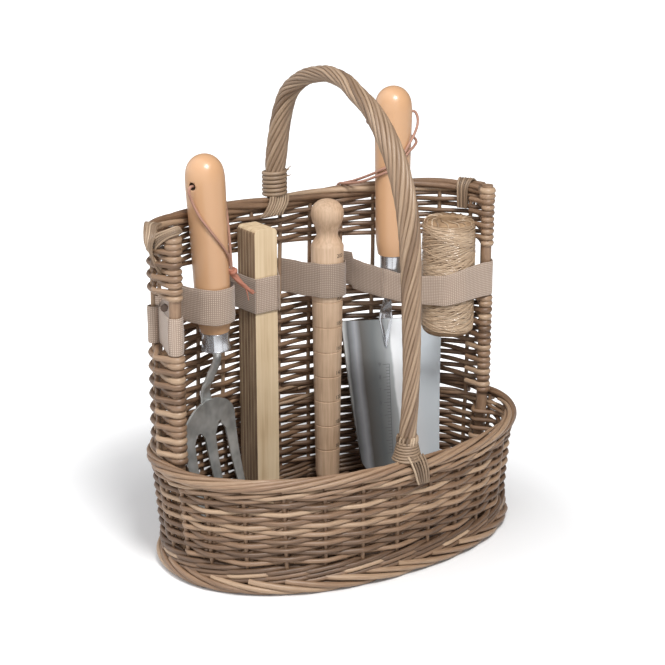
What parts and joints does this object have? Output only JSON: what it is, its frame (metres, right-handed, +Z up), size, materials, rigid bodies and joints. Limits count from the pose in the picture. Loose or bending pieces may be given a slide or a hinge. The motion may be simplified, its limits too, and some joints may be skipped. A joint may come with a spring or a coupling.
{
  "type": "garden tool basket",
  "caption": "Oval willow basket with a tall woven back and bow handle; an elastic band in the back holds a hand fork, trowel, dibber, row markers and twine.",
  "frame": {"origin": "on the ground under the middle of the basket's outline", "axes": "+Z up; -Y towards the open front of the bowl, +Y towards the tall back; +X to the right seen from the front"},
  "size_m": [0.293, 0.1915, 0.3452],
  "materials": {
    "willow": "aged unpeeled willow rods",
    "binding_willow": "fine split willow, matte",
    "elastic": "fine ribbed woven elastic",
    "beech": "turned and waxed, satin",
    "polished_steel": "polished stainless steel",
    "leather_lace": "thin waxed cord of leather",
    "pine": "sawn, untreated",
    "jute": "rough natural twine"
  },
  "bodies": {
    "basket": {"foot_border": "willow", "woven_floor": "willow", "bowl_wall": "willow", "rim_border": "willow", "left_post": "willow", "right_post": "willow", "back_panel": "willow", "top_rail": "willow", "left_lashing": "binding_willow", "right_lashing": "binding_willow", "handle_bow": "willow", "back_binding": "binding_willow", "front_binding": "binding_willow", "back_lashing": "binding_willow", "front_lashing": "binding_willow", "elastic_band": "elastic"},
    "fork": {"fork_handle": "beech", "fork_ferrule": "polished_steel", "fork_head": "polished_steel", "fork_lace": "leather_lace", "fork_lace_knot": "leather_lace"},
    "trowel": {"trowel_handle": "beech", "trowel_ferrule": "polished_steel", "trowel_head": "polished_steel", "trowel_lace": "leather_lace", "trowel_lace_knot": "leather_lace"},
    "dibber_body": {"dibber": "beech"},
    "marker_1": {"row_marker_1": "pine"},
    "marker_2": {"row_marker_2": "pine"},
    "marker_3": {"row_marker_3": "pine"},
    "marker_4": {"row_marker_4": "pine"},
    "marker_5": {"row_marker_5": "pine"},
    "marker_6": {"row_marker_6": "pine"},
    "twine": {"twine_core": "jute", "twine_winding": "jute"}
  },
  "joints": [
    {"name": "fork_lift", "type": "slide", "parent": "basket", "child": "fork", "axis": [-0.0593, -0.0209, 0.998], "range_m": [0, 0.04]},
    {"name": "trowel_lift", "type": "slide", "parent": "basket", "child": "trowel", "axis": [0, 0, 1], "range_m": [0, 0.03]},
    {"name": "dibber_lift", "type": "slide", "parent": "basket", "child": "dibber_body", "axis": [0, 0, 1], "range_m": [0, 0.2]},
    {"name": "marker_1_lift", "type": "slide", "parent": "basket", "child": "marker_1", "axis": [0, 0, 1], "range_m": [0, 0.2]},
    {"name": "marker_2_lift", "type": "slide", "parent": "basket", "child": "marker_2", "axis": [0, 0, 1], "range_m": [0, 0.2]},
    {"name": "marker_3_lift", "type": "slide", "parent": "basket", "child": "marker_3", "axis": [0, 0, 1], "range_m": [0, 0.2]},
    {"name": "marker_4_lift", "type": "slide", "parent": "basket", "child": "marker_4", "axis": [0, 0, 1], "range_m": [0, 0.2]},
    {"name": "marker_5_lift", "type": "slide", "parent": "basket", "child": "marker_5", "axis": [0, 0, 1], "range_m": [0, 0.2]},
    {"name": "marker_6_lift", "type": "slide", "parent": "basket", "child": "marker_6", "axis": [0, 0, 1], "range_m": [0, 0.2]},
    {"name": "twine_lift", "type": "slide", "parent": "basket", "child": "twine", "axis": [0, 0, 1], "range_m": [0, 0.09]}
  ]
}
